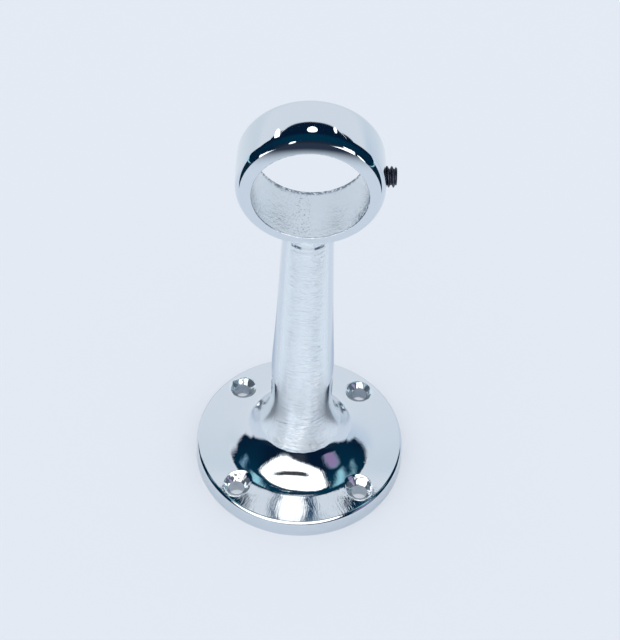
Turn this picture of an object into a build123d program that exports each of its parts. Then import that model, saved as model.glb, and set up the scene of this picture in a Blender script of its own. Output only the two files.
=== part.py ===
from build123d import *
import math
import os

# A flanged bracket that holds a curtain rod, cast in one piece, and the set screw in its ring.
# The wall is the plane z = 0, the stem stands out along +Z and the rod lies along Y.
# Lengths are in millimetres and angles in degrees.

# Rod and the ring around it
rod_diameter = 25.4
rod_clearance = 0.6
rod_height = 105.0
ring_wall = 3.9
ring_width = 15.0
ring_face_lean = 15.0
ring_crown_radius = 80.0
ring_shoulder_radius = 3.6
ring_shoulder_margin = 0.3
ring_mouth_round = 0.3

# Flange against the wall
flange_diameter = 56.0
rim_height = 5.1
rim_draft = 2.5
rim_round = 1.0
flange_rise = 7.0

# Stem between the flange and the ring
flare_reach = 13.6
flare_height = 20.0
stem_base_diameter = 15.9
stem_straight = 12.5
stem_bend_radius = 250.0
stem_top_diameter = 12.0
neck_fillet = 1.0

# Countersunk holes for the wall screws
screw_circle = 46.0
screw_count = 4
screw_first_angle = 45.0
screw_hole_diameter = 4.2
sink_diameter = 7.4
sink_angle = 90.0
sink_overrun = 0.8

# Hollow in the back of the casting
land_width = 3.2
flange_wall = 3.0
boss_wall = 2.6
core_diameter = 9.0
core_depth = 28.0
hollow_rise = 4.0
hollow_draft = 2.5
hollow_round = 1.2

# Set screw that grips the rod
clamp_diameter = 4.83
clamp_length = 6.0
clamp_clearance = 0.03
clamp_setback = 0.15
clamp_chamfer = 0.45
socket_flats = 2.4
socket_depth = 2.6
cup_diameter = 2.4
cup_angle = 118.0

# Worked out from the sizes above
bore_radius = (rod_diameter + rod_clearance) / 2
ring_radius = bore_radius + ring_wall
ring_middle = rod_height + bore_radius + ring_wall / 2
block_width = ring_width + 2 * ring_shoulder_margin
flange_radius = flange_diameter / 2
stem_base_radius = stem_base_diameter / 2
stem_top_radius = stem_top_diameter / 2
core_radius = core_diameter / 2
clamp_radius = clamp_diameter / 2


def run(length, angle):
    """Sideways distance covered by a line that leans by an angle over a length."""
    return length * math.tan(math.radians(angle))


rim_top_radius = flange_radius - run(rim_height, rim_draft)


def flange_top(radius):
    """Height of the flange's conical top at a distance from its middle."""
    return rim_height + run(rim_top_radius - radius, flange_rise)


# The flare is the part of an ellipse between the upright stem and the cone of the flange
flare_turn = math.atan2(flare_height, run(flare_reach, flange_rise))
flare_foot = stem_base_radius + flare_reach * (1 - math.cos(flare_turn))
flare_top = flange_top(flare_foot) + flare_height * math.sin(flare_turn)
taper_start = flare_top + stem_straight
stem_end = rod_height - bore_radius - ring_wall / 2
rod_axis = Axis((0, 0, rod_height), (0, 1, 0))
sink_top = flange_top(screw_circle / 2) + sink_overrun
sink_top_radius = sink_diameter / 2 + run(sink_overrun, sink_angle / 2)

hollow_radius = flange_radius - land_width
hollow_rim_floor = flange_top(hollow_radius) - flange_wall
core_mouth_floor = hollow_rim_floor + run(hollow_radius - core_radius, hollow_rise)
core_end_radius = core_radius - run(core_depth - core_mouth_floor, hollow_draft)
boss_radius = screw_hole_diameter / 2 + boss_wall

# Hollow of the back, with the screw bosses standing in it
with BuildPart() as back_hollow:
    with BuildSketch(Plane.XZ) as hollow_section:
        with BuildLine():
            Polyline(
                (0, 0),
                (hollow_radius, 0),
                (hollow_radius - run(hollow_rim_floor, hollow_draft), hollow_rim_floor),
                (core_radius, core_mouth_floor),
                (core_end_radius, core_depth),
                (0, core_depth),
                close=True,
            )
        make_face()
        inner_corners = hollow_section.vertices().filter_by(lambda v: v.X > 0 and v.Y > 0)
        fillet(inner_corners, hollow_round)
    revolve(axis=Axis.Z)
    with PolarLocations(screw_circle / 2, screw_count, start_angle=screw_first_angle):
        Cylinder(
            boss_radius,
            core_depth,
            align=(Align.CENTER, Align.CENTER, Align.MIN),
            mode=Mode.SUBTRACT,
        )

# Casting: flange, stem and ring in one
with BuildPart() as bracket_body:
    with BuildSketch(Plane.XZ) as half_section:
        with BuildLine():
            Polyline(
                (0, stem_end),
                (0, 0),
                (flange_radius, 0),
                (rim_top_radius, rim_height),
                (flare_foot, flange_top(flare_foot)),
            )
            EllipticalCenterArc(
                (stem_base_radius + flare_reach, flare_top),
                flare_reach,
                flare_height,
                start_angle=180,
                arc_size=math.degrees(flare_turn),
            )
            Polyline(
                (stem_base_radius, flare_top),
                (stem_base_radius, taper_start),
                (stem_top_radius, stem_end),
                (0, stem_end),
            )
        make_face()
        rim_corner = half_section.vertices().sort_by_distance((rim_top_radius, rim_height))[0]
        fillet(rim_corner, rim_round)
        taper_corner = half_section.vertices().sort_by_distance((stem_base_radius, taper_start))[0]
        fillet(taper_corner, stem_bend_radius)
    revolve(axis=Axis.Z)

    with BuildSketch(Plane.YZ) as ring_section:
        with Locations((0, rod_height + ring_radius)):
            Rectangle(block_width, ring_wall + ring_shoulder_radius, align=(Align.CENTER, Align.MAX))
        with Locations((0, rod_height + ring_radius - ring_crown_radius)):
            Circle(ring_crown_radius, mode=Mode.INTERSECT)
        fillet(ring_section.vertices().group_by(Axis.Y)[-1], ring_shoulder_radius)
        with Locations((0, ring_middle)):
            Trapezoid(ring_width, ring_wall, 90 - ring_face_lean, mode=Mode.INTERSECT)
        fillet(ring_section.vertices().group_by(Axis.Y)[0], ring_mouth_round)
    revolve(axis=rod_axis)

    neck_edges = bracket_body.edges().filter_by_position(Axis.Z, rod_height - ring_radius, stem_end)
    fillet(neck_edges.filter_by(GeomType.CIRCLE, reverse=True), neck_fillet)

    add(back_hollow.part, mode=Mode.SUBTRACT)

    with Locations((0, 0, sink_top)):
        with PolarLocations(screw_circle / 2, screw_count, start_angle=screw_first_angle):
            CounterSinkHole(screw_hole_diameter / 2, sink_top_radius, counter_sink_angle=sink_angle)

    with Locations(Plane((ring_radius, 0, rod_height), z_dir=(1, 0, 0))):
        Hole(clamp_radius + clamp_clearance, depth=ring_radius)

# Set screw: a threaded plug with a hexagon socket outside and a cupped point inside
with BuildPart() as clamp_screw:
    clamp_plane = Plane((bore_radius + clamp_setback, 0, rod_height), x_dir=(0, 1, 0), z_dir=(1, 0, 0))
    with BuildSketch(clamp_plane):
        Circle(clamp_radius)
    extrude(amount=clamp_length)
    chamfer(clamp_screw.edges().filter_by(GeomType.CIRCLE), clamp_chamfer)
    with BuildSketch(clamp_plane.offset(clamp_length)):
        RegularPolygon(socket_flats / 2, 6, major_radius=False)
    extrude(amount=-socket_depth, mode=Mode.SUBTRACT)
    with Locations(clamp_plane):
        Cone(
            cup_diameter / 2,
            0,
            cup_diameter / 2 / math.tan(math.radians(cup_angle / 2)),
            align=(Align.CENTER, Align.CENTER, Align.MIN),
            mode=Mode.SUBTRACT,
        )

os.makedirs("parts", exist_ok=True)
bracket_body.part.label = "bracket_body"
clamp_screw.part.label = "clamp_screw"
export_step(bracket_body.part, "parts/bracket_body.step")
export_step(clamp_screw.part, "parts/clamp_screw.step")
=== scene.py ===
import math
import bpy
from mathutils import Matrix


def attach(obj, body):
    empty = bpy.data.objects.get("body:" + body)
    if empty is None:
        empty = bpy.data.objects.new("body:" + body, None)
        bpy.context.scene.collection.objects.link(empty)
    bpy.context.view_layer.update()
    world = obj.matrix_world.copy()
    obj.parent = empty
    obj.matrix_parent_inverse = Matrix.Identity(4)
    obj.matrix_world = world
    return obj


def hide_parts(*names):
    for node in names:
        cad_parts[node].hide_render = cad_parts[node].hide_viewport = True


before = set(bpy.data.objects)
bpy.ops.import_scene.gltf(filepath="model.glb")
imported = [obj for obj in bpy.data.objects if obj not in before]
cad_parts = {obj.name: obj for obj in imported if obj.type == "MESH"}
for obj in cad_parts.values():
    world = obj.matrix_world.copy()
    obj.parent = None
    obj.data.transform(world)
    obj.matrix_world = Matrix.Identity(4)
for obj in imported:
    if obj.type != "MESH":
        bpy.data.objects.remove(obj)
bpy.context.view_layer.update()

from types import SimpleNamespace
import bpy
import numpy as np
from mathutils import Matrix, Vector

scene = bpy.context.scene
mm = 0.001               # the shapes below are worked out in millimetres
capRadius = 0.3          # round a shell's axis, where a flat cap closes it
small = 0.01             # over this distance a slope is measured


def tangent(degrees):
    return math.tan(math.radians(degrees))


def fullTurn(columns):
    # angles spaced evenly once round
    return np.arange(columns) * 2 * np.pi / columns


# Outlines. A run is a pair of arrays: points (radius, height) and headings along them.
# Seen along its heading, the metal lies on the run's right hand.
def path(corners, rounds, step=0.5):
    # straight runs between the corners, joined by arcs that touch both, of the radii in rounds
    corners = np.array(corners, float)
    legs = np.diff(corners, axis=0)
    headings = legs / np.linalg.norm(legs, axis=1)[:, None]
    runs = []
    start = corners[0]
    for corner, radius, before, after in zip(corners[1:-1], rounds, headings, headings[1:]):
        turn = math.atan2(before[0] * after[1] - before[1] * after[0], before @ after)
        cut = radius * math.tan(abs(turn) / 2)
        end = corner - before * cut
        runs.append((np.array([start, end]), np.array([before, before])))
        if radius:
            count = max(5, int(abs(turn) * radius / step) + 2)
            angles = np.linspace(0, turn, count)[:, None]
            across = np.array([-before[1], before[0]]) * math.copysign(1, turn)
            heading = before * np.cos(angles) + across * np.sin(np.abs(angles))
            normal = across * np.cos(angles) - before * np.sin(np.abs(angles))
            runs.append((end + radius * (across - normal), heading))
        start = corner + after * cut
    runs.append((np.array([start, corners[-1]]), np.array([headings[-1], headings[-1]])))
    return runs


def ovalRun(centre, reach, rise, start, end, count):
    # centre + (reach cos t, rise sin t) for t from start to end, in degrees
    t = np.radians(np.linspace(start, end, count))
    points = np.stack([centre[0] + reach * np.cos(t), centre[1] + rise * np.sin(t)], -1)
    heading = np.stack([-reach * np.sin(t), rise * np.cos(t)], -1) * math.copysign(1, end - start)
    return points, heading / np.linalg.norm(heading, axis=1)[:, None]


def mirrored(runs):
    # the same runs on the other side of height 0, followed the other way
    flip = np.array([1, -1])
    return [(points[::-1] * flip, headings[::-1] * -flip) for points, headings in runs[::-1]]


def around(run, columns):
    # a run carried round the axis: (r, z) becomes (r cos a, r sin a, z), its way out likewise
    points, headings = run
    angles = fullTurn(columns)
    outward = np.stack([-headings[:, 1], headings[:, 0]], -1)
    return [np.stack([part[:, :1] * np.cos(angles), part[:, :1] * np.sin(angles),
                      np.repeat(part[:, 1:], columns, 1)], -1) for part in (points, outward)]


def cubic(start, startHandle, endHandle, end, steps):
    # a curve that leaves start towards startHandle and comes into end from endHandle
    t = np.linspace(0, 1, steps)[:, None, None]
    return ((1 - t) ** 3 * start + 3 * (1 - t) ** 2 * t * startHandle
            + 3 * (1 - t) * t ** 2 * endHandle + t ** 3 * end)


def gridWays(points):
    # the way out of a free surface: its slope along the rows crossed with its slope round the columns
    down = np.gradient(points, axis=0, edge_order=min(2, len(points) - 1))
    beside = np.roll(points, -1, 1) - np.roll(points, 1, 1)
    way = np.cross(down, beside)
    return way / np.linalg.norm(way, axis=2)[..., None]


class Shell:
    # strips of quads and flat caps, welded where they meet into one closed mesh
    reach = 1e-4         # points this near each other are one

    def __init__(self, turn=np.eye(3), place=(0, 0, 0)):
        self.turn = np.array(turn, float)
        self.place = np.array(place, float)
        self.points = []
        self.ways = []
        self.quads = []
        self.caps = []
        self.count = 0

    def strip(self, points, ways):
        rows, columns = points.shape[:2]
        index = np.arange(rows * columns).reshape(rows, columns) + self.count
        beside = np.roll(index, -1, 1)
        self.quads.append(np.stack([index[:-1], index[1:], beside[1:], beside[:-1]], -1).reshape(-1, 4))
        self.points.append(points.reshape(-1, 3) @ self.turn.T + self.place)
        self.ways.append(ways.reshape(-1, 3) @ self.turn.T)
        self.count += rows * columns
        return index

    def cap(self, index, way):
        # a flat end over one row: the first row as it runs, the last row turned round
        self.caps.append((index, np.array(way, float) @ self.turn.T))

    def mesh(self, name, inward=False):
        points = np.concatenate(self.points)
        ways = np.concatenate(self.ways)
        quads = np.concatenate(self.quads)
        weld = np.round(points / self.reach)
        first, same = np.unique(weld, axis=0, return_index=True, return_inverse=True)[1:]
        same = same.ravel()
        corners = [ways[quads].reshape(-1, 3)]
        corners += [np.repeat(way[None], len(index), 0) for index, way in self.caps]
        faces = same[quads].tolist() + [same[index].tolist() for index, way in self.caps]
        data = bpy.data.meshes.new(name)
        data.from_pydata((points[first] * mm).tolist(), [], faces)
        way = data.attributes.new("way", "FLOAT_VECTOR", "CORNER")
        way.data.foreach_set("vector", (np.concatenate(corners) * (-1 if inward else 1)).ravel())
        return data


def newObject(data):
    made = bpy.data.objects.new(data.name, data)
    scene.collection.objects.link(made)
    return made


def carved(name, first, steps):
    # adds and cuts whole shells, then gives each corner the exact way out that its surface had
    whole = newObject(first)
    tools = []
    for operation, tool in steps:
        tools.append(newObject(tool))
        step = whole.modifiers.new(tool.name, "BOOLEAN")
        step.operation = operation
        step.solver = "MANIFOLD"
        step.object = tools[-1]
    data = bpy.data.meshes.new_from_object(whole.evaluated_get(bpy.context.evaluated_depsgraph_get()))
    for spare in [whole] + tools:
        bpy.data.objects.remove(spare)
    data.name = name
    way = np.empty(len(data.loops) * 3, np.float32)
    data.attributes["way"].data.foreach_get("vector", way)
    way = way.reshape(-1, 3)
    way /= np.linalg.norm(way, axis=1)[:, None]
    data.attributes.remove(data.attributes["way"])
    data.shade_smooth()
    data.normals_split_custom_set(way.tolist())
    return newObject(data)


# The casting: flange, stem and ring in one piece of chrome-plated metal
body = {
    "columns": 256,          # points round the stem and the flange
    "flangeRadius": 28.0,
    "rimHeight": 5.1,
    "rimDraft": 2.5,         # degrees
    "rimRound": 1.0,
    "flangeRise": 7.0,       # degrees, the slope of the flange's top
    "flareReach": 13.6,
    "flareHeight": 20.0,
    "flareSteps": 64,
    "stemRadius": 7.95,
    "stemStraight": 12.5,
    "stemBend": 250.0,       # radius of the slow bend from the straight stem to its cone
    "stemTopRadius": 6.0,
    "stemJoint": 84.0,       # the stem is round from here down
    "rodHeight": 105.0,
    "boreRadius": 13.0,
    "ringWall": 3.9,
    "stemStep": 1.2,         # length of a facet along the stem's bend, and along the small rounds
    "roundStep": 0.12,
}
rimTop = body["flangeRadius"] - body["rimHeight"] * tangent(body["rimDraft"])
flareTurn = math.atan2(body["flareHeight"], body["flareReach"] * tangent(body["flangeRise"]))
flareFoot = body["stemRadius"] + body["flareReach"] * (1 - math.cos(flareTurn))
flareTop = body["rimHeight"] + (rimTop - flareFoot) * tangent(body["flangeRise"])
flareTop += body["flareHeight"] * math.sin(flareTurn)
taperStart = flareTop + body["stemStraight"]
stemEnd = body["rodHeight"] - body["boreRadius"] - body["ringWall"] / 2
taper = (body["stemRadius"] - body["stemTopRadius"]) / (stemEnd - taperStart)


def flangeTop(radius):
    # height of the flange: its cone outside the flare's foot, the flare's oval inside it
    cone = body["rimHeight"] + (rimTop - radius) * tangent(body["flangeRise"])
    along = np.clip(1 - (radius - body["stemRadius"]) / body["flareReach"], -1, 1)
    return np.where(radius > flareFoot, cone, flareTop - body["flareHeight"] * np.sqrt(1 - along ** 2))


# The ring: its section is symmetric about its middle plane
ring = {
    "columns": 240,
    "width": 15.0,
    "faceLean": 15.0,        # degrees
    "crownRadius": 80.0,
    "shoulderRadius": 3.6,
    "shoulderMargin": 0.3,
    "mouthRound": 0.3,
    "neckRound": 1.0,
    "neckSteps": 17,
    "neckTries": 30,         # rounds of working out where the stem meets the ring
    "neckSink": 0.002,       # how deep the neck's edge dips under the ring's skin
    "plugRadius": 5.4,       # the neck's end inside the ring's wall
    "plugRise": 0.4,
    "crownSteps": 10,
    "shoulderSteps": 18,
    "mouthStep": 0.05,
}
ringRadius = body["boreRadius"] + body["ringWall"]
crownCentre = ringRadius - ring["crownRadius"]
shoulderSide = ring["width"] / 2 + ring["shoulderMargin"] - ring["shoulderRadius"]
shoulderReach = ring["crownRadius"] - ring["shoulderRadius"]
shoulderBase = crownCentre + math.sqrt(shoulderReach ** 2 - shoulderSide ** 2)
crownHalf = math.degrees(math.asin(shoulderSide / shoulderReach))
lean = math.radians(ring["faceLean"])                # of the ring's side faces
faceGap = (ring["width"] / 2 - shoulderSide) * math.cos(lean)
faceGap -= (shoulderBase - body["boreRadius"]) * math.sin(lean)
shoulderEnd = 90 - ring["faceLean"] - math.degrees(math.acos(faceGap / ring["shoulderRadius"]))


def ringOutside(side):
    # radius of the ring's crown and shoulder at a distance from its middle plane
    side = np.abs(side)
    crown = crownCentre + np.sqrt(ring["crownRadius"] ** 2 - side ** 2)
    shoulder = np.sqrt(np.maximum(ring["shoulderRadius"] ** 2 - (side - shoulderSide) ** 2, 0))
    crownEdge = ring["crownRadius"] * math.sin(math.radians(crownHalf))
    return np.where(side > crownEdge, shoulderBase + shoulder, crown)


def ringUnder(x, y):
    # height of the ring's underside over a point of the wall
    return body["rodHeight"] - np.sqrt(ringOutside(y) ** 2 - x ** 2)


def neckCurve(cosine, sine):
    # one upright line for each angle: it meets the ring's underside where the stem's cone does, and a cubic
    # takes it from the ring down to the stem, level with both where it touches them
    height = np.full(len(cosine), stemEnd)
    for _ in range(ring["neckTries"]):
        radius = body["stemTopRadius"] + (stemEnd - height) * taper
        height = ringUnder(radius * cosine, radius * sine)
    slope = (ringUnder((radius + small) * cosine, (radius + small) * sine) - height) / small
    opening = math.pi / 2 + np.arctan(slope) + math.atan(taper)
    reach = ring["neckRound"] / np.tan(opening / 2)
    low = np.stack([radius + reach * taper, height - reach], -1)
    high = radius + reach * np.cos(np.arctan(slope))
    top = ringUnder(high * cosine, high * sine)
    slope = (ringUnder((high + small) * cosine, (high + small) * sine) - top) / small
    high = np.stack([high, top + ring["neckSink"]], -1)
    out = np.stack([np.ones(len(cosine)), slope], -1) / np.sqrt(1 + slope ** 2)[:, None]
    up = np.array([-taper, 1]) / math.hypot(taper, 1)
    handle = (4 / 3 * np.tan((math.pi - opening) / 4) * ring["neckRound"])[:, None]
    curve = cubic(high, high - handle * out, low - handle * up, low, ring["neckSteps"])
    return np.stack([curve[..., 0] * cosine, curve[..., 0] * sine, curve[..., 1]], -1)


def bodyShell():
    # neck, stem, flare, rim, back land and hollow: profiles (radius, height) carried round +Z, top to bottom
    shell = Shell()
    columns = body["columns"]
    angles = fullTurn(columns)
    cosine = np.cos(angles)
    sine = np.sin(angles)
    neck = neckCurve(cosine, sine)
    plugTop = np.full(columns, stemEnd + ring["plugRise"])
    plug = np.stack([ring["plugRadius"] * cosine, ring["plugRadius"] * sine, plugTop], -1)
    index = shell.strip(np.stack([plug, neck[0]]), np.stack([plug, plug]) * 0 + [0, 0, 1])
    shell.cap(index[0], (0, 0, 1))
    shell.strip(neck, gridWays(neck))
    joint = body["stemJoint"]
    jointRadius = body["stemTopRadius"] + (stemEnd - joint) * taper
    stemTop = np.stack([jointRadius * cosine, jointRadius * sine, np.full(columns, joint)], -1)
    outward = np.stack([cosine, sine, np.full(columns, taper)], -1) / math.hypot(1, taper)
    shell.strip(np.stack([neck[-1], stemTop]), np.stack([outward, outward]))
    stemRadius = body["stemRadius"]
    runs = path([(jointRadius, joint), (stemRadius, taperStart), (stemRadius, flareTop)],
                [body["stemBend"]], body["stemStep"])
    runs.append(ovalRun((stemRadius + body["flareReach"], flareTop), body["flareReach"], body["flareHeight"],
                        180, 180 + math.degrees(flareTurn), body["flareSteps"]))
    rearRound = rear["round"]
    runs += path([(flareFoot, flangeTop(flareFoot + 1e-6)), (rimTop, body["rimHeight"]),
                  (body["flangeRadius"], 0), (hollowRadius, 0),
                  (hollowRadius - hollowFloor * tangent(rear["draft"]), hollowFloor),
                  (rear["coreRadius"], coreMouth), (coreEnd, rear["coreDepth"]),
                  (capRadius, rear["coreDepth"])],
                 [body["rimRound"], 0, 0, rearRound, rearRound, rearRound], body["roundStep"])
    for run in runs:
        index = shell.strip(*around(run, columns))
    shell.cap(index[-1][::-1], (0, 0, -1))
    return shell.mesh("bodyShell")


# The back: a land round the edge, a hollow, bosses for the wall screws and a core up the stem
rear = {
    "land": 3.2,
    "wall": 3.0,
    "rise": 4.0,             # degrees
    "draft": 2.5,            # degrees
    "round": 1.2,
    "coreRadius": 4.5,
    "coreDepth": 28.0,
    "bossWall": 2.6,
    "bossTop": 4.0,
}
hollowRadius = body["flangeRadius"] - rear["land"]
hollowFloor = float(flangeTop(hollowRadius)) - rear["wall"]
coreMouth = hollowFloor + (hollowRadius - rear["coreRadius"]) * tangent(rear["rise"])
coreEnd = rear["coreRadius"] - (rear["coreDepth"] - coreMouth) * tangent(rear["draft"])

hole = {
    "columns": 96,
    "circle": 23.0,          # radius of the circle that the wall screws stand on
    "angles": (45, 135, 225, 315),
    "radius": 2.1,
    "sinkRadius": 3.7,
    "overrun": 0.8,          # the countersink's cone runs on past the flange by this
    "lip": 0.22,             # the rim of each countersink is softened by the plating
    "lipRise": 0.002,
    "lipSteps": 9,
    "lipHandle": 0.4,        # how far the lip's curve keeps to the flange and to the cone, as a share of it
    "lipConeShare": 0.7,
    "rimTries": 20,
    "above": 12.0,           # the cutting shells run on past the metal, up to here
    "below": -1.0,
    "clampRadius": 2.445,
    "clampFrom": 8.0,        # from the rod's axis
    "clampTo": 20.0,
}


def bossShell():
    # four round bosses, flush with the land: a square profile carried round each screw's axis
    shell = Shell()
    for angle in np.radians(hole["angles"]):
        shell.place = np.array([hole["circle"] * math.cos(angle), hole["circle"] * math.sin(angle), 0])
        radius = hole["radius"] + rear["bossWall"]
        first, side, last = path([(capRadius, rear["bossTop"]), (radius, rear["bossTop"]), (radius, 0),
                                  (capRadius, 0)], [0, 0])
        shell.cap(shell.strip(*around(first, hole["columns"]))[0], (0, 0, 1))
        shell.strip(*around(side, hole["columns"]))
        shell.cap(shell.strip(*around(last, hole["columns"]))[-1][::-1], (0, 0, -1))
    return shell.mesh("bossShell")


def holeShell():
    # each hole's rim follows the flange; a soft lip leads into the cone, and the cone into the bore
    shell = Shell()
    columns = hole["columns"]
    angles = fullTurn(columns)
    cosine = np.cos(angles)
    sine = np.sin(angles)
    sinkTop = float(flangeTop(hole["circle"])) + hole["overrun"]
    # the cone's tip, as its sides lean 45 degrees
    coneZero = sinkTop - hole["sinkRadius"] - hole["overrun"]
    for angle in np.radians(hole["angles"]):
        centre = hole["circle"] * np.array([math.cos(angle), math.sin(angle)])
        shell.place = np.array([*centre, 0])

        def above(radius):
            away = centre[:, None] + radius * np.stack([cosine, sine])
            return flangeTop(np.hypot(*away))

        rim = np.full(columns, hole["sinkRadius"])
        for _ in range(hole["rimTries"]):
            rim = above(rim) - coneZero
        outer = rim + hole["lip"]
        inner = rim - hole["lip"]
        slope = (above(outer + small) - above(outer)) / small
        start = np.stack([outer, above(outer) + hole["lipRise"]], -1)
        end = np.stack([inner, coneZero + inner], -1)
        inbound = np.stack([-np.ones(columns), -slope], -1) / np.sqrt(1 + slope ** 2)[:, None]
        handle = hole["lipHandle"] * hole["lip"]
        upCone = handle * np.array([1, 1]) * hole["lipConeShare"]
        lip = cubic(start, start + handle * inbound, end + upCone, end, hole["lipSteps"])
        lip = np.stack([lip[..., 0] * cosine, lip[..., 0] * sine, lip[..., 1]], -1)
        high = lip[0] * [1, 1, 0] + [0, 0, hole["above"]]
        wall = np.stack([high, lip[0]])
        shell.cap(shell.strip(wall, gridWays(wall))[0], (0, 0, 1))
        shell.strip(lip, gridWays(lip))
        throatHeight = np.full(columns, coneZero + hole["radius"])
        throat = np.stack([hole["radius"] * cosine, hole["radius"] * sine, throatHeight], -1)
        cone = np.stack([lip[-1], throat])
        shell.strip(cone, gridWays(cone))
        bore = np.stack([throat, throat * [1, 1, 0] + [0, 0, hole["below"]]])
        shell.cap(shell.strip(bore, gridWays(bore))[-1][::-1], (0, 0, -1))
    return shell.mesh("holeShell", inward=True)


alongRod = [(1, 0, 0), (0, 0, -1), (0, 1, 0)]        # turns a shell's axis to +Y
alongScrew = [(0, 0, 1), (1, 0, 0), (0, 1, 0)]       # turns it to +X


def ringShell():
    # crown, shoulder, leaning face, mouth and bore, mirrored about the middle and carried round the rod
    crown = ovalRun((crownCentre, 0), ring["crownRadius"], ring["crownRadius"],
                    0, -crownHalf, ring["crownSteps"])
    shoulder = ovalRun((shoulderBase, -shoulderSide), ring["shoulderRadius"], ring["shoulderRadius"],
                       -crownHalf, -shoulderEnd, ring["shoulderSteps"])
    face = path([shoulder[0][-1], (body["boreRadius"], -ring["width"] / 2), (body["boreRadius"], 0)],
                [ring["mouthRound"]], ring["mouthStep"])
    half = [crown, shoulder] + face
    shell = Shell(alongRod, (0, 0, body["rodHeight"]))
    for run in half + mirrored(half):
        shell.strip(*around(run, ring["columns"]))
    return shell.mesh("ringShell")


def clampHoleShell():
    # the plain hole for the set screw: a square profile carried round the screw's axis
    shell = Shell(alongScrew, (0, 0, body["rodHeight"]))
    columns = hole["columns"]
    radius = hole["clampRadius"]
    first, side, last = path([(capRadius, hole["clampTo"]), (radius, hole["clampTo"]),
                              (radius, hole["clampFrom"]), (capRadius, hole["clampFrom"])], [0, 0])
    shell.cap(shell.strip(*around(first, columns))[0], (0, 0, 1))
    shell.strip(*around(side, columns))
    shell.cap(shell.strip(*around(last, columns))[-1][::-1], (0, 0, -1))
    return shell.mesh("clampHoleShell", inward=True)


casting = carved("casting", bodyShell(), [
    ("UNION", ringShell()),
    ("UNION", bossShell()),
    ("DIFFERENCE", holeShell()),
    ("DIFFERENCE", clampHoleShell()),
])
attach(casting, "bracket")
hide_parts("bracket_body")
print("casting ready:", len(casting.data.polygons), "faces")


# The set screw: a threaded plug with a hexagon socket, along +X
screw = {
    "columns": 96,
    "rows": 121,
    "radius": 2.415,
    "pitch": 1.058,
    "depth": 0.60,           # of the thread
    "crest": 0.15,           # flat, along the screw
    "flankRun": 0.577,       # how far each flank leans along the screw for its depth
    "start": 13.15,
    "length": 6.0,
    "chamfer": 0.45,
    "crestAt": 17.04,        # where a crest passes the top of the screw
    "flats": 2.4,
    "socketDepth": 2.6,
    "drillDepth": 0.4,       # of the cone at the socket's bottom
    "cupRadius": 1.2,
    "cupDepth": 0.72,
    "tipRadius": 0.1,        # where the cones end
    "sharp": 35.0,           # degrees; edges steeper than this stay sharp
}


def clampShell():
    # radius = crest less the thread's depth, by the distance from the nearest turn of a right-hand helix
    shell = Shell(alongScrew, (screw["start"], 0, body["rodHeight"]))
    angles = fullTurn(screw["columns"])
    cosine = np.cos(angles)
    sine = np.sin(angles)

    def ringAt(radius, height):
        radius, height = np.broadcast_arrays(radius, height)
        return np.stack([radius * cosine, radius * sine, height + 0 * angles], -1)

    height = np.linspace(screw["length"], 0, screw["rows"])[:, None]
    quarter = 0.25           # the screw's top lies a quarter turn from where the angles start
    phase = (height + screw["start"] - screw["crestAt"]) / screw["pitch"] - (angles / (2 * np.pi) - quarter)
    away = np.abs(phase - np.round(phase)) * screw["pitch"]
    flank = np.clip((away - screw["crest"] / 2) / (screw["depth"] * screw["flankRun"]), 0, 1)
    radius = screw["radius"] - screw["depth"] * flank
    ends = screw["radius"] - screw["chamfer"] + np.minimum(height, screw["length"] - height)
    thread = ringAt(np.minimum(radius, ends), height)
    hexagon = screw["flats"] / 2 / np.cos((angles + np.pi / 6) % (np.pi / 3) - np.pi / 6)
    socketFloor = screw["length"] - screw["socketDepth"]
    mouth = ringAt(hexagon, screw["length"])
    floor = ringAt(hexagon, socketFloor)
    tip = ringAt(screw["tipRadius"] + 0 * angles, socketFloor - screw["drillDepth"])
    cup = ringAt(screw["cupRadius"] + 0 * angles, 0.0)
    cupTip = ringAt(screw["tipRadius"] + 0 * angles, screw["cupDepth"])
    rows = [tip, floor, mouth, thread[0]]
    strips = [np.stack(pair) for pair in zip(rows, rows[1:])] + [thread]
    strips += [np.stack([thread[-1], cup]), np.stack([cup, cupTip])]
    indices = [shell.strip(points, points) for points in strips]
    shell.cap(indices[0][0], (0, 0, 1))
    shell.cap(indices[-1][-1][::-1], (0, 0, -1))
    data = shell.mesh("setScrew")
    data.attributes.remove(data.attributes["way"])
    data.shade_smooth()
    data.set_sharp_from_angle(angle=math.radians(screw["sharp"]))
    return data


clamp = newObject(clampShell())
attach(clamp, "clamp")
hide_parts("clamp_screw")
print("set screw ready:", len(clamp.data.polygons), "faces")


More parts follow.
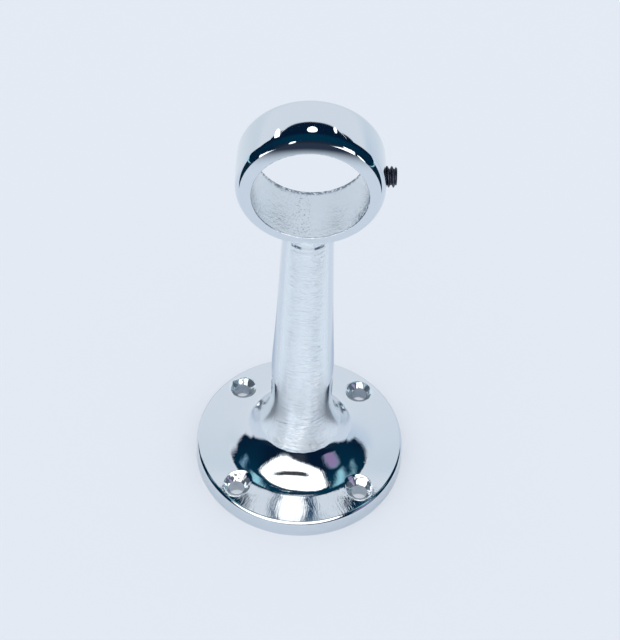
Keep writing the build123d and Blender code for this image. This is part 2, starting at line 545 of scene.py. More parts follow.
# Shader maths
class Socket:
    # wraps a node's output so that Python's operators add Math nodes
    def __init__(self, tree, link):
        self.tree = tree
        self.link = link

    def math(self, operation, *values):
        return self.tree.node("ShaderNodeMath", {"operation": operation}, dict(enumerate(values)))

    def __add__(self, other):
        return self.math("ADD", self, other)

    def __radd__(self, other):
        return self.math("ADD", other, self)

    def __sub__(self, other):
        return self.math("SUBTRACT", self, other)

    def __rsub__(self, other):
        return self.math("SUBTRACT", other, self)

    def __mul__(self, other):
        return self.math("MULTIPLY", self, other)

    def __rmul__(self, other):
        return self.math("MULTIPLY", other, self)

    def __truediv__(self, other):
        return self.math("DIVIDE", self, other)

    def __rtruediv__(self, other):
        return self.math("DIVIDE", other, self)

    def __neg__(self):
        return self.math("MULTIPLY", self, -1.0)

    def __pow__(self, other):
        return self.math("POWER", self, other)

    def least(self, other):
        return self.math("MINIMUM", self, other)

    def most(self, other):
        return self.math("MAXIMUM", self, other)

    def size(self):
        return self.math("ABSOLUTE", self)

    def angle(self, other):
        return self.math("ARCTAN2", self, other)

    def root(self):
        return self.math("SQRT", self)

    def step(self, low, high):
        # 0 below low, 1 above high, smooth between; the other way round where low is above high
        if low > high:
            return 1.0 - self.step(high, low)
        return self.tree.node("ShaderNodeMapRange", {"interpolation_type": "SMOOTHSTEP"},
                              {0: self, 1: low, 2: high, 3: 0.0, 4: 1.0})


class Tree:
    def __init__(self, nodeTree):
        self.tree = nodeTree
        self.tree.nodes.clear()

    def node(self, kind, settings=None, sockets=None, out=0):
        made = self.tree.nodes.new(kind)
        for name, value in (settings or {}).items():
            setattr(made, name, value)
        for key, value in (sockets or {}).items():
            target = made.inputs[key]
            if isinstance(value, Socket):
                self.tree.links.new(value.link, target)
            else:
                target.default_value = value
        return Socket(self, made.outputs[out]) if made.outputs else made

    def split(self, vector):
        first = self.node("ShaderNodeSeparateXYZ", None, {0: vector})
        return [Socket(self, output) for output in first.link.node.outputs]

    def place(self):
        # a point of the piece, in millimetres
        return [part / mm for part in self.split(self.node("ShaderNodeTexCoord", out="Object"))]

    def join(self, x, y, z=0.0):
        return self.node("ShaderNodeCombineXYZ", None, {0: x, 1: y, 2: z})

    def mix(self, factor, first, second):
        return self.node("ShaderNodeMix", {"data_type": "RGBA"}, {0: factor, 6: first, 7: second}, out=2)

    def noise(self, vector, scale, detail=2.0, rough=0.5):
        sockets = {"Vector": vector, "Scale": scale, "Detail": detail, "Roughness": rough}
        return self.node("ShaderNodeTexNoise", None, sockets)

    def bump(self, height):
        # height in millimetres
        return self.node("ShaderNodeBump", None, {"Height": height * mm, "Strength": 1.0, "Distance": 1.0})

    def ellipse(self, x, y, middle, reach, soft):
        # 1 inside an ellipse, 0 outside, fading over soft times its size
        return ovalAway(x, y, middle, reach).step(1 + soft, 1 - soft)

    def streak(self, x, y, start, end, width):
        # 1 on the line from start to end, fading out sideways over its width and at both ends
        alongX = end[0] - start[0]
        alongY = end[1] - start[1]
        long = math.hypot(alongX, alongY)
        alongX, alongY = alongX / long, alongY / long
        across = ((x - start[0]) * alongY - (y - start[1]) * alongX).size()
        beyond = (x - start[0]) * alongX + (y - start[1]) * alongY
        fade = 0.1 * long
        begun = beyond.step(-fade, fade)
        notOver = beyond.step(long + fade, long - fade)
        return across.step(width, width * 0.2) * begun * notOver


def ovalAway(x, y, middle, reach):
    # how far out a point lies, as a share of the ellipse's size
    return (((x - middle[0]) / reach[0]) ** 2 + ((y - middle[1]) / reach[1]) ** 2).root()


def newMaterial(name):
    material = bpy.data.materials.new(name)
    material.use_nodes = True
    return material, Tree(material.node_tree)


def dress(thing, material):
    thing.data.materials.clear()
    thing.data.materials.append(material)


# Finishes. Each pair is a mask's edge: the mask is 0 at the first value and 1 at the second.
# Heights and distances are in mm, and sides in radians round the stem from its front.
holePlace = hole["circle"] * math.sin(math.radians(hole["angles"][0]))

chromeLook = {
    "colour": (0.71, 0.755, 0.80, 1),
    "satinColour": (0.82, 0.865, 0.90, 1),
    # the colour of the pits and of the painted shade and reflections
    "pitAndPaintedShadeColour": (0.10, 0.14, 0.20, 1),
    # the colour of the painted highlight up the stem
    "paintedHighlightColour": (0.97, 0.98, 1.0, 1),
    "polished": 0.03,        # roughness of the flange and the ring
    "satin": 0.26,           # roughness of the stem's front
    "brushed": 0.10,         # roughness of the flange's front and its holes
    "rawCast": 0.16,         # roughness of the bore
    "satinMetal": 0.60,      # the hazy stem mirrors less than it scatters
    "boreHaze": 0.25,        # how much of that haze the bore and the holes have
    "holeHaze": 0.35,
    "holePale": 0.7,
    "frontBrushed": 0.6,
    "zones": {
        "ring": (88.0, 90.5),            # height
        "bore": (0.30, 0.10),            # away from the bore's wall
        "satinFoot": (13.3, 14.3),       # height; where the stem's haze ends on the flare
        "satinRagged": 0.8,
        "satinTop": (91.0, 88.0),
        "satinSide": (0.75, 1.05),       # the haze ends at the sides
        "satinSideFoot": 0.35,           # but low down it only thins there, by this share
        "satinSideHeight": (24.0, 34.0),
        "flange": (12.0, 8.0),           # height
        "frontInner": (19.5, 21.5),      # the flange's front, by its radius
        "frontOuter": (27.6, 27.0),
        "frontSide": (0.75, 0.35),
        "hole": (3.75, 3.6),
    },
    "paintedHighlight": {                # a painted highlight: a bright streak up the stem
        "side": 0.47,
        "turn": 0.50,        # it runs across to the left near the foot
        "turnHeight": (29.0, 17.0),
        "width": (0.16, 0.04),
        "foot": (14.0, 19.0),
        "top": (52.0, 40.0),
        "breaks": (0.42, 0.58),
    },
    "paintedFlareReflection": {             # a painted reflection: a dark arc round the stem's foot, on the flare
        "height": 22.4,
        "lean": 1.6,
        "sag": 0.6,          # it drops by this times the square of sagSide times the side
        "sagSide": 1.4,
        "width": (0.28, 0.08),
        "begins": (0.22, 0.42),
        "ends": (1.05, 0.75),
        "breaks": (0.42, 0.56),
        "share": 0.6,
    },
    "paintedNeckShade": {               # painted shade: dark lines in the crease under the ring
        "height": 87.0,
        "sag": 0.2,
        "sagSide": (0.6, 0.1),
        "width": (0.55, 0.30),
        "begins": (0.20, 0.30),
        "ends": (0.72, 0.60),
        "breaks": (0.36, 0.46),
    },
    "edge": {                # a painted dark reflection along the bore's far edge
        "width": (0.40, 0.20),
        "back": (6.0, 6.7),
        "breaks": (0.44, 0.52),
        "share": 0.85,
    },
    "pits": {                # in the bottom of the bore
        "scale": 2.6,
        "size": (0.60, 0.66),
        "middle": -1.5,
        "band": (2.8, 1.0),
        "top": (94.0, 93.0),
        "share": 0.45,
    },
    "paintedBoreReflection": {               # a painted dark reflection on the bore's right side, near its front
        "breaks": (0.40, 0.60),
        "side": (9.5, 11.5),
        "front": (-4.6, -6.2),
        "top": (109.0, 106.0),
        "share": 0.8,
    },
    "relief": {              # heights, mm
        "wave": 0.020,       # slow unevenness of the hand polishing
        "chatter": 0.32,     # short ripples across the stem's front
        "chatterSide": (0.95, 0.40),
        "hair": 0.014,       # fine polishing lines on the flange
        "hairRadius": (8.5, 10.5),
        "hairTop": (15.0, 12.0),
        "facet": 0.14,       # uneven walls of the screw holes
        "cast": 0.16,        # grain of the casting in the bore
        "mouth": 0.10,       # the same at the bore's far edge
        "mouthWidth": (0.7, 0.3),
        "mouthBack": (5.5, 6.5),
        "soften": 0.026,     # how far the ring's faces are rounded over towards the bore
        "softenReach": 2.4,
        "softenSide": (0.5, 7.0),
    },
}


def chromePlaces(tree):
    # where a point lies, and masks for the parts of the casting
    zones = chromeLook["zones"]
    at = SimpleNamespace()
    at.x, at.y, at.z = tree.place()
    at.point = tree.join(at.x, at.y, at.z)
    at.radius = (at.x * at.x + at.y * at.y).root()
    at.turn = at.x.angle(-at.y)          # 0 in front, positive towards the set screw
    at.side = at.turn.size()
    up = at.z - body["rodHeight"]
    at.fromBore = (at.x * at.x + up * up).root() - body["boreRadius"]
    at.fine = tree.noise(at.point, 1.1, detail=3.0, rough=0.7)
    at.chatter = tree.noise(tree.join(at.turn * 1.3, at.z * 1.15), 1.0, detail=3.0, rough=0.65)
    at.ring = at.z.step(*zones["ring"])
    at.bore = at.fromBore.step(*zones["bore"]) * at.ring
    ragged = tree.noise(tree.join(at.turn * 9.0, at.z * 0.4), 1.6, detail=3.0, rough=0.7) - 0.5
    satin = (at.z + ragged * zones["satinRagged"]).step(*zones["satinFoot"]) * at.z.step(*zones["satinTop"])
    foot = zones["satinSideFoot"]
    upStem = foot + (1.0 - foot) * at.z.step(*zones["satinSideHeight"])
    at.satin = satin * (1.0 - at.side.step(*zones["satinSide"]) * upStem)
    flange = at.z.step(*zones["flange"])
    front = flange * at.radius.step(*zones["frontInner"]) * at.radius.step(*zones["frontOuter"])
    at.front = front * at.side.step(*zones["frontSide"])
    holeAway = ((at.x.size() - holePlace) ** 2 + (at.y.size() - holePlace) ** 2).root()
    at.hole = holeAway.step(*zones["hole"]) * flange
    return at


def chromePitsAndPaintedLight(tree, at):
    # how bright each point gets from the painted highlight, and how dark from pits and from painted shade
    # and reflections
    # painted highlight: a bright streak up the stem, where a lamp's reflection falls
    look = chromeLook["paintedHighlight"]
    way = look["side"] - at.z.step(*look["turnHeight"]) * look["turn"]
    paintedHighlight = (at.turn - way).size().step(*look["width"]) * at.chatter.step(*look["breaks"])
    paintedHighlight = paintedHighlight * at.z.step(*look["foot"]) * at.z.step(*look["top"])

    # painted reflection: a dark arc across the flare
    look = chromeLook["paintedFlareReflection"]
    way = look["height"] + at.turn * look["lean"] - (at.side * look["sagSide"]) ** 2.0 * look["sag"]
    paintedFlareReflection = (at.z - way).size().step(*look["width"]) * at.fine.step(*look["breaks"])
    paintedFlareReflection = paintedFlareReflection * at.side.step(*look["begins"]) * at.side.step(*look["ends"])

    # painted shade in the crease where the stem meets the ring
    look = chromeLook["paintedNeckShade"]
    way = look["height"] - at.side.step(*look["sagSide"]) * look["sag"]
    paintedNeckShade = (at.z - way).size().step(*look["width"]) * at.fine.step(*look["breaks"])
    paintedNeckShade = paintedNeckShade * at.side.step(*look["begins"]) * at.side.step(*look["ends"])

    # painted dark reflection along the bore's far edge
    look = chromeLook["edge"]
    edge = at.fromBore.size().step(*look["width"]) * at.y.step(*look["back"]) * at.fine.step(*look["breaks"])

    look = chromeLook["pits"]
    pits = tree.noise(at.point, look["scale"], detail=1.0).step(*look["size"]) * at.bore
    pits = pits * (at.x - look["middle"]).size().step(*look["band"]) * at.z.step(*look["top"])

    # painted dark reflection inside the bore's right side
    look = chromeLook["paintedBoreReflection"]
    paintedBoreReflection = at.fine.step(*look["breaks"]) * at.x.step(*look["side"]) * at.y.step(*look["front"])
    paintedBoreReflection = paintedBoreReflection * at.z.step(*look["top"]) * at.bore

    # real pits, together with painted shade and painted dark reflections
    pitsAndPaintedShade = paintedNeckShade
    for name, mask in (("paintedFlareReflection", paintedFlareReflection), ("edge", edge), ("pits", pits), ("paintedBoreReflection", paintedBoreReflection)):
        pitsAndPaintedShade = pitsAndPaintedShade.most(mask * chromeLook[name]["share"])
    return paintedHighlight, pitsAndPaintedShade


def chromeRelief(tree, at):
    # heights of all that the bump shows, added up
    look = chromeLook["relief"]
    wave = tree.noise(tree.join(at.x, at.y, at.z * 0.6), 0.16, detail=1.0) * look["wave"]
    ripple = at.chatter * at.satin * look["chatter"] * at.side.step(*look["chatterSide"])
    combed = tree.join(at.turn * 60.0, at.radius * 0.55, at.z * 0.15)
    hair = tree.noise(combed, 1.0, rough=0.6) * look["hair"] * (1.0 - at.hole)
    hair = hair * at.radius.step(*look["hairRadius"]) * at.z.step(*look["hairTop"])
    facet = tree.noise(at.point, 0.9, detail=0.0) * look["facet"] * at.hole
    grain = at.fine * look["cast"] * at.bore
    mouth = at.fine * look["mouth"] * at.fromBore.size().step(*look["mouthWidth"])
    mouth = mouth * at.y.step(*look["mouthBack"]) * at.ring
    inward = (look["softenReach"] - at.fromBore).most(0.0)
    rounded = -(inward * inward) * look["soften"] * at.y.size().step(*look["softenSide"]) * at.ring
    return wave + ripple + hair + facet + grain + mouth + rounded


def chromeMaterial():
    look = chromeLook
    material, tree = newMaterial("chromePlate")
    at = chromePlaces(tree)
    polished = look["polished"]
    roughness = polished + (look["satin"] - polished) * at.satin
    roughness = roughness + (look["rawCast"] - polished) * at.bore
    roughness = roughness + (look["brushed"] - polished) * at.hole.most(at.front * look["frontBrushed"])
    hazy = at.satin.most(at.bore * look["boreHaze"]).most(at.hole * look["holeHaze"])
    paintedHighlight, pitsAndPaintedShade = chromePitsAndPaintedLight(tree, at)
    pale = at.satin.most(at.hole * look["holePale"])
    colour = tree.mix(pale, look["colour"], look["satinColour"])
    # the painted highlight up the stem
    colour = tree.mix(paintedHighlight, colour, look["paintedHighlightColour"])
    # pits, and painted shade and reflections
    colour = tree.mix(pitsAndPaintedShade, colour, look["pitAndPaintedShadeColour"])
    shader = tree.node("ShaderNodeBsdfPrincipled", None, {
        "Base Color": colour,
        "Metallic": 1.0 - (1.0 - look["satinMetal"]) * hazy,
        "Roughness": roughness,
        "Normal": tree.bump(chromeRelief(tree, at)),
    })
    tree.node("ShaderNodeOutputMaterial", None, {"Surface": shader})
    return material


oxideLook = {
    "colour": (0.024, 0.028, 0.050, 1),
    "paler": (0.046, 0.056, 0.092, 1),
    "rubbed": (0.17, 0.18, 0.21, 1),     # where the thread's crests are handled
    "rub": 0.55,
    "crest": (-0.16, -0.02),             # from the thread's outside radius
    "crestBreaks": (0.46, 0.60),
    "palerFrom": (0.35, 0.65),
    "metal": 0.5,
    "roughness": 0.36,
    "rougher": 0.22,         # where the grain is high
    "slowRougher": 0.08,
    "grain": 0.020,          # mm
}


def oxideMaterial():
    look = oxideLook
    material, tree = newMaterial("blackOxide")
    x, y, z = tree.place()
    up = z - body["rodHeight"]
    away = (y * y + up * up).root()
    point = tree.join(x, y, z)
    slow = tree.noise(point, 0.9, rough=0.6)
    fine = tree.noise(point, 5.0, detail=3.0, rough=0.6)
    crest = (away - screw["radius"]).step(*look["crest"]) * fine.step(*look["crestBreaks"])
    colour = tree.mix(slow.step(*look["palerFrom"]), look["colour"], look["paler"])
    colour = tree.mix(crest * look["rub"], colour, look["rubbed"])
    shader = tree.node("ShaderNodeBsdfPrincipled", None, {
        "Base Color": colour,
        "Metallic": look["metal"],
        "Roughness": look["roughness"] + look["rougher"] * (fine - 0.5) + look["slowRougher"] * slow,
        "Normal": tree.bump(fine * look["grain"]),
    })
    tree.node("ShaderNodeOutputMaterial", None, {"Surface": shader})
    return material


dress(casting, chromeMaterial())
dress(clamp, oxideMaterial())
print("finishes ready")

# The room: a sheet of pale paper, and what the chrome mirrors round it
paperLook = {
    "colour": (0.86, 0.89, 0.94, 1),
    "half": 3.0,             # metres, as the eye sees it
    "mirroredLeft": 138.0,   # mm; the chrome mirrors the paper only so far to the sides
    "mirroredRight": 125.0,
    "mirroredFront": -185.0,
    "widenFrom": -15.0,      # behind this it is mirrored further to the sides
    "widen": 4.0,
    "sideFade": (-8.0, 16.0),
    "frontFade": (-10.0, 190.0),
    "shade": (0.57, 0.63, 0.74, 1),      # the paper behind the bracket, as mirrored
    "shadeBack": (5.0, 30.0),
    "shadeSide": (48.0, 30.0),
    "lit": (0.775, 0.81, 0.88, 1),
    "litShare": 0.55,
    "dark": (0.004, 0.022, 0.045, 1),
    "front": (0.030, 0.045, 0.075, 1),
}


def stagePiece(name, points, faces, material):
    data = bpy.data.meshes.new(name)
    data.from_pydata((np.array(points, float) * mm).tolist(), [], faces)
    made = newObject(data)
    dress(made, material)
    return made


def paperMaterial():
    look = paperLook
    material, tree = newMaterial("paper")
    x, y, z = tree.place()
    widen = (y - look["widenFrom"]).most(0.0) * look["widen"]
    side = (x - look["mirroredRight"] - widen).step(*look["sideFade"])
    side = side.most((-x - look["mirroredLeft"] - widen).step(*look["sideFade"]))
    front = (look["mirroredFront"] - y).step(*look["frontFade"])
    dark = tree.mix(front, look["dark"], look["front"])
    shade = y.step(*look["shadeBack"]) * x.size().step(*look["shadeSide"])
    mirrored = tree.node("ShaderNodeLightPath", out="Is Glossy Ray")
    colour = tree.mix(mirrored * shade, look["colour"], look["shade"])
    pale = tree.node("ShaderNodeBsdfDiffuse", None, {"Color": colour})
    lit = tree.node("ShaderNodeEmission", None, {"Color": look["lit"]})
    eye = tree.node("ShaderNodeLightPath", out="Is Camera Ray")
    pale = tree.node("ShaderNodeMixShader", None, {0: eye * look["litShare"], 1: pale, 2: lit})
    beyond = tree.node("ShaderNodeEmission", None, {"Color": dark})
    shader = tree.node("ShaderNodeMixShader", None, {0: mirrored * side.most(front), 1: pale, 2: beyond})
    tree.node("ShaderNodeOutputMaterial", None, {"Surface": shader})
    return material


def buildPaper():
    far = paperLook["half"] / mm
    corners = [(-far, -far, 0), (far, -far, 0), (far, far, 0), (-far, far, 0)]
    stagePiece("paper", corners, [(0, 1, 2, 3)], paperMaterial())


# Cards that only the chrome mirrors: a standing one behind, and a white one overhead, in mm
cardLook = {
    "standing": {
        "low": (0.84, 0.89, 0.95, 1),
        "high": (0.74, 0.82, 0.89, 1),
        "right": (0.64, 0.74, 0.88, 1),
        "front": 31.0,       # mm behind the stem's axis
        "sweep": 0.66,       # how fast it runs back to the sides
        "bend": 25.0,        # how round it is in the middle
        "wing": 66.0,        # where it has run back this far it turns outwards
        "wingSweep": 0.10,
        "top": 160.0,
        "topMiddle": 153.5,
        "topRise": 0.004,
        "hood": 18.0,        # the middle's upper edge leans forward and down by this much
        "hoodHalf": 40.0,
        "left": -165.0,
        "rightEnd": 165.0,
        "rightLean": 26.0,   # its right end is this much nearer at a height of 100
        "footHalf": 330.0,   # a low part runs on to the sides
        "footTop": 38.0,
        "margin": 40.0,      # of clear card outside all of these
        "topMargin": 3.0,
        "topSoft": 0.8,      # how far each edge fades
        "leftSoft": 6.0,
        "rightSoft": 14.0,
        "footSideSoft": 30.0,
        "footTopSoft": 6.0,
        "highFrom": (20.0, 150.0),
        "rightFrom": (10.0, 170.0),
        "lowAgain": (112.0, 135.0),
        "columns": 149,
    },
    "overhead": {
        "colour": (1, 1, 1, 1),
        "strength": 2.4,
        "grey": (0.45, 0.50, 0.56, 1),   # a dim haze behind the white
        "greyStrength": 0.20,
        "greyCover": 0.35,
        "greyBack": (0.05, -0.10),
        "greySide": (0.36, 0.10),
        "corners": (900.0, 120.0, -1400.0),      # half width, back and front
        "height": 140.0,
        "eye": (0.0, -17.0, 9.0),        # its outline is given by direction from here
        "middle": (-0.09, -0.44),
        "reach": (0.67, 0.52),
        "soft": 0.03,
        "back": -0.14,
        "backLean": 0.50,
        "right": 0.34,
        "rightLean": 0.43,
        "ragged": (0.10, 0.05, 0.06),    # outline, right edge and back edge
        "arcMiddle": (0.0, -0.20),       # a dark streaky arc across the white
        "arcRadius": 0.55,
        "arcLean": 0.05,
        "arcWidth": (0.09, 0.02),
        "arcBegins": (-0.66, -0.40),
        "arcEnds": (0.34, 0.20),
        "arcBreaks": (0.74, 0.80),
        "arcShare": 0.50,
        "arcDark": 0.97,
    },
}


# Coloured patches for the flare alone, below the ring's top. Outlines are by direction from the eye.
# A streak is its start, its end, its width and how solid it is.
tintLook = {
    "corners": (700.0, 90.0, -400.0),
    "height": 112.0,
    "eye": (0.0, -17.0, 9.0),
    "cyan": (0.42, 0.80, 0.92, 1),
    "blue": (0.30, 0.52, 0.78, 1),
    "rose": (0.34, 0.24, 0.44, 1),
    "streaks": [((0.40, 0.17), (0.74, -0.12), 0.10, 0.95), ((0.36, 0.35), (0.80, 0.15), 0.03, 0.8),
                ((-0.34, 0.24), (-0.56, 0.02), 0.11, 1.0)],
    "blueStreak": ((-0.55, 0.29), (-0.82, 0.14), 0.035, 0.8),
    "roseMiddle": (0.86, -0.44),
    "roseReach": (0.12, 0.26),
    "roseSoft": 0.25,
}


def glowing(name, make):
    # a material that shines with the colour and the cover that make gives, and is clear elsewhere
    material, tree = newMaterial(name)
    x, y, z = tree.place()
    colour, strength, cover = make(tree, x, y, z)
    light = tree.node("ShaderNodeEmission", None, {"Color": colour, "Strength": strength})
    clear = tree.node("ShaderNodeBsdfTransparent")
    shader = tree.node("ShaderNodeMixShader", None, {0: cover, 1: clear, 2: light})
    tree.node("ShaderNodeOutputMaterial", None, {"Surface": shader})
    return material


def addCard(name, points, faces, cover):
    # a card that only the chrome mirrors
    made = stagePiece(name, points, faces, glowing(name, cover))
    made.visible_camera = False
    made.visible_diffuse = False
    made.visible_shadow = False
    made.visible_transmission = False
    made.visible_volume_scatter = False


def addSheet(name, look, cover):
    # a level card, facing down
    half, back, front = look["corners"]
    high = look["height"]
    corners = [(-half, back, high), (half, back, high), (half, front, high), (-half, front, high)]
    addCard(name, corners, [(0, 1, 2, 3)], cover)


def bandFaces(columns):
    # the faces between two rows of points
    cells = np.arange(2 * columns).reshape(2, -1)
    return np.stack([cells[0, :-1], cells[0, 1:], cells[1, 1:], cells[1, :-1]], -1).tolist()


def seenFrom(look, x, y):
    # the sideways and forward parts of the direction from the look's eye to a point of its level card
    rise = look["height"] - look["eye"][2]
    sideways = x - look["eye"][0]
    forward = y - look["eye"][1]
    long = (sideways * sideways + forward * forward + rise * rise).root()
    return sideways / long, forward / long


def below(value, edge, soft):
    # 1 below the edge, 0 above it
    return (value - edge).step(soft, -soft)


def standingCover(tree, x, y, z):
    look = cardLook["standing"]
    top = (look["topMiddle"] + x * x * look["topRise"]).least(look["top"])
    rightEnd = look["rightEnd"] - (z / 100.0) ** 2 * look["rightLean"]
    main = below(z, top, look["topSoft"]) * below(-x, -look["left"], look["leftSoft"])
    main = main * below(x, rightEnd, look["rightSoft"])
    foot = below(x.size(), look["footHalf"], look["footSideSoft"])
    foot = foot * below(z, look["footTop"], look["footTopSoft"])
    colour = tree.mix(z.step(*look["highFrom"]), look["low"], look["high"])
    colour = tree.mix(x.step(*look["rightFrom"]), colour, look["right"])
    colour = tree.mix(z.step(*look["lowAgain"]), colour, look["low"])
    return colour, 1.0, main.most(foot)


def overheadCover(tree, x, y, z):
    look = cardLook["overhead"]
    side, forward = seenFrom(look, x, y)
    ragged = tree.noise(tree.join(side, forward), 14.0, detail=3.0, rough=0.7) - 0.5
    outlineRag, rightRag, backRag = look["ragged"]
    soft = look["soft"]
    outline = ovalAway(side, forward, look["middle"], look["reach"]) + ragged * outlineRag
    white = below(outline, 1.0, soft)
    white = white * below(side + forward * look["rightLean"] + ragged * rightRag, look["right"], soft)
    back = forward - side.most(0.0) * look["backLean"] + ragged * backRag
    white = white * below(back, look["back"], soft)
    away = ovalAway(side, forward, look["arcMiddle"], (1.0, 1.0)) - look["arcRadius"]
    streaky = tree.noise(tree.join(side * 26.0, forward * 70.0), 1.0, detail=3.0, rough=0.7)
    arc = (away + side * look["arcLean"]).size().step(*look["arcWidth"])
    arc = arc * side.step(*look["arcBegins"]) * side.step(*look["arcEnds"])
    arc = (arc * look["arcShare"] + streaky).step(*look["arcBreaks"])
    grey = forward.step(*look["greyBack"]) * side.size().step(*look["greySide"])
    colour = tree.mix(white, look["grey"], look["colour"])
    strength = look["greyStrength"] + (look["strength"] - look["greyStrength"]) * white
    return colour, strength * (1.0 - look["arcDark"] * arc), white.most(grey * look["greyCover"])


def standingRun(out):
    # a hyperbola from the front, then a nearly straight wing
    look = cardLook["standing"]
    back = look["front"] + look["sweep"] * (np.sqrt(out ** 2 + look["bend"] ** 2) - look["bend"])
    return np.minimum(back, look["wing"] + look["wingSweep"] * out)


def tintCover(tree, x, y, z):
    look = tintLook
    side, forward = seenFrom(look, x, y)
    start, end, width, share = look["blueStreak"]
    blue = tree.streak(side, forward, start, end, width) * share
    rose = tree.ellipse(side, forward, look["roseMiddle"], look["roseReach"], look["roseSoft"])
    colour = tree.mix(blue, look["cyan"], look["blue"])
    colour = tree.mix(rose, colour, look["rose"])
    cover = blue.most(rose)
    for start, end, width, share in look["streaks"]:
        cover = cover.most(tree.streak(side, forward, start, end, width) * share)
    return colour, 1.0, cover


# Small round lamps near the ring: what point of it mirrors each, which way, and half their width and height
lampLook = {
    "away": 30.0,
    "colour": (1, 1, 1, 1),
    "strength": 2.5,
    "corners": 24,
    "spots": [((-0.1, -3.7, 121.8), 0, 48, 4.0, 1.3), ((-7.5, -3.9, 120.0), -41, 27, 2.6, 2.2),
              ((-4.3, -6.4, 120.4), -140, 51, 2.4, 4.0), ((5.0, -2.2, 121.1), 31, 38, 1.6, 1.0),
              ((7.9, -6.5, 118.9), 121, 32, 2.0, 7.0), ((10.7, -6.7, 116.6), 118, 11, 1.6, 6.0),
              ((-10.0, -6.7, 117.3), -120, 17, 0.9, 3.0)],
}


def lampCover(tree, x, y, z):
    return lampLook["colour"], lampLook["strength"], 1.0


def buildLamp(start, bearing, rise, wide, high):
    # an oval plate, square to the way that leads to it from its point of the ring
    bearing = math.radians(bearing)
    rise = math.radians(rise)
    way = [math.sin(bearing) * math.cos(rise), math.cos(bearing) * math.cos(rise), math.sin(rise)]
    across = np.array([way[1], -way[0], 0]) / math.hypot(way[0], way[1])
    up = np.cross(across, way)
    angles = fullTurn(lampLook["corners"])
    points = np.array(start) + np.array(way) * lampLook["away"]
    points = points + np.outer(np.cos(angles), across) * wide + np.outer(np.sin(angles), up) * high
    addCard("ringLamp", points, [list(range(len(angles)))], lampCover)


# A small card close before the stem that shines forwards: the flange's front mirrors it as a white patch
stemCardLook = {
    "middle": (-2.3, -8.4, 49.0),
    "half": (13.02, 22.1),
    "white": (1, 1, 1, 1),
    "reach": (6.0, 14.0),
    "edge": (1.06, 0.94),
    "ragged": 0.5,
    "dark": (0.01, 0.05, 0.10, 1),       # a rim round the white
    "darkShift": 0.7,
    "darkReach": (9.3, 17.0),
    "darkEdge": (1.05, 0.95),
    "darkRagged": 0.3,
    "strength": 1.5,
}


def stemCardCover(tree, x, y, z):
    look = stemCardLook
    ragged = tree.noise(tree.join(x * 1.6, z * 0.25), 1.0, detail=3.0, rough=0.7) - 0.5
    side = x - look["middle"][0]
    up = z - look["middle"][2]
    white = ovalAway(side, up, (0.0, 0.0), look["reach"]) + ragged * look["ragged"]
    dark = ovalAway(side, up, (look["darkShift"], 0.0), look["darkReach"]) + ragged * look["darkRagged"]
    behind = tree.node("ShaderNodeNewGeometry", out="Backfacing")
    colour = tree.mix(white.step(*look["edge"]), look["dark"], look["white"])
    return colour, look["strength"], dark.step(*look["darkEdge"]) * (1.0 - behind)


def buildStemCard():
    x, y, z = stemCardLook["middle"]
    wide, high = stemCardLook["half"]
    left, right = x - wide, x + wide
    low, top = z - high, z + high
    corners = [(left, y, low), (right, y, low), (right, y, top), (left, y, top)]
    addCard("stemCard", corners, [(0, 1, 2, 3)], stemCardCover)


def hoodCover(tree, x, y, z):
    return cardLook["standing"]["low"], 1.0, 1.0


def buildStandingCard():
    # an upright sheet along standingRun, and a hood that leans forward from the middle of its top
    look = cardLook["standing"]
    half = look["footHalf"] + look["margin"]
    across = np.linspace(-half, half, look["columns"])
    points = np.empty((2, len(across), 3))
    points[..., 0] = across
    points[..., 1] = standingRun(np.abs(across))
    points[..., 2] = np.array([[0.0], [look["top"] + look["topMargin"]]])
    addCard("standingCard", points.reshape(-1, 3), bandFaces(len(across)), standingCover)
    across = across[np.abs(across) < look["hoodHalf"]]
    edge = look["topMiddle"] + across ** 2 * look["topRise"]
    top = np.stack([across, standingRun(np.abs(across)), edge], -1)
    points = np.concatenate([top, top - [0, look["hood"], look["hood"]]])
    addCard("hoodCard", points, bandFaces(len(across)), hoodCover)


def buildCards():
    buildStandingCard()
    for spot in lampLook["spots"]:
        buildLamp(*spot)
    addSheet("tintCard", tintLook, tintCover)
    buildStemCard()
    addSheet("overheadCard", cardLook["overhead"], overheadCover)


# What lies beyond the paper and the cards, by direction: x to the right, y away from the eye, z up
roomLook = {
    "eye": (0.80, 0.86, 0.92, 1),
    "ambient": (0.90, 0.95, 1.0, 1),
    "navy": (0.002, 0.012, 0.034, 1),
    "teal": (0.001, 0.034, 0.072, 1),
    "tealMiddle": (0.05, 0.0),
    "tealReach": (0.95, 0.45),
    "tealSoft": 0.5,
}


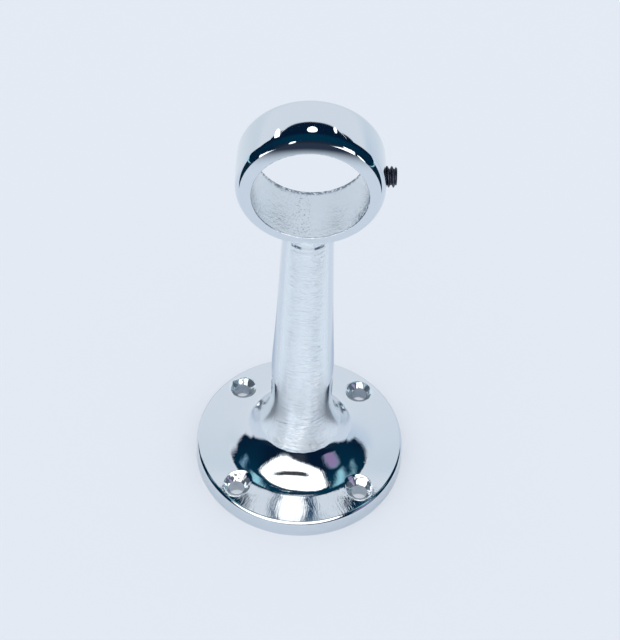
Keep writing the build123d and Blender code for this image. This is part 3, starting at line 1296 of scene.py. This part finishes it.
def buildRoom():
    look = roomLook
    world = bpy.data.worlds.new("room")
    scene.world = world
    world.use_nodes = True
    tree = Tree(world.node_tree)
    x, y, z = tree.split(tree.node("ShaderNodeTexCoord", out="Generated"))
    teal = tree.ellipse(x, y, look["tealMiddle"], look["tealReach"], look["tealSoft"])
    seen = tree.mix(teal, look["navy"], look["teal"])
    glossy = tree.node("ShaderNodeLightPath", out="Is Glossy Ray")
    eye = tree.node("ShaderNodeLightPath", out="Is Camera Ray")
    seen = tree.mix(glossy, look["ambient"], seen)
    seen = tree.mix(eye, seen, look["eye"])
    shader = tree.node("ShaderNodeBackground", None, {"Color": seen, "Strength": 1.0})
    tree.node("ShaderNodeOutputWorld", None, {"Surface": shader})


buildPaper()
buildCards()
buildRoom()
print("room ready")

# Where the eye is
cameraFit = {
    "focal": 1572.65,        # pixels
    "pitch": 0.869509697,    # radians
    "roll": 0.0464637973,
    "yaw": -0.0158197625,
    "shiftX": -2.97738246,   # millimetres
    "shiftY": -35.1667,
    "distance": 430.35356,
    "pictureHeight": 640,
    "sensor": 36.0,          # millimetres
    "nearest": 0.01,         # metres
    "farthest": 50.0,
}


def placeCamera(fit):
    # it looks at the stem from in front and above, turned by the yaw, then rolled about its own axis
    pitch, yaw, roll = fit["pitch"], fit["yaw"], fit["roll"]
    back = Vector((math.sin(yaw) * math.cos(pitch), -math.cos(yaw) * math.cos(pitch), math.sin(pitch)))
    right = Vector((math.cos(yaw), math.sin(yaw), 0))
    up = back.cross(right)
    rolledRight = math.cos(roll) * right + math.sin(roll) * up
    rolledUp = -math.sin(roll) * right + math.cos(roll) * up
    place = (back * fit["distance"] - rolledRight * fit["shiftX"] - rolledUp * fit["shiftY"]) * mm
    data = bpy.data.cameras.new("camera")
    data.sensor_width = fit["sensor"]
    data.lens = fit["focal"] / fit["pictureHeight"] * data.sensor_width
    data.clip_start = fit["nearest"]
    data.clip_end = fit["farthest"]
    camera = bpy.data.objects.new("camera", data)
    turn = Matrix((rolledRight, rolledUp, back)).transposed().to_4x4()
    camera.matrix_world = Matrix.Translation(place) @ turn
    scene.collection.objects.link(camera)
    scene.camera = camera


placeCamera(cameraFit)
scene.view_settings.view_transform = "Standard"
print("camera ready")
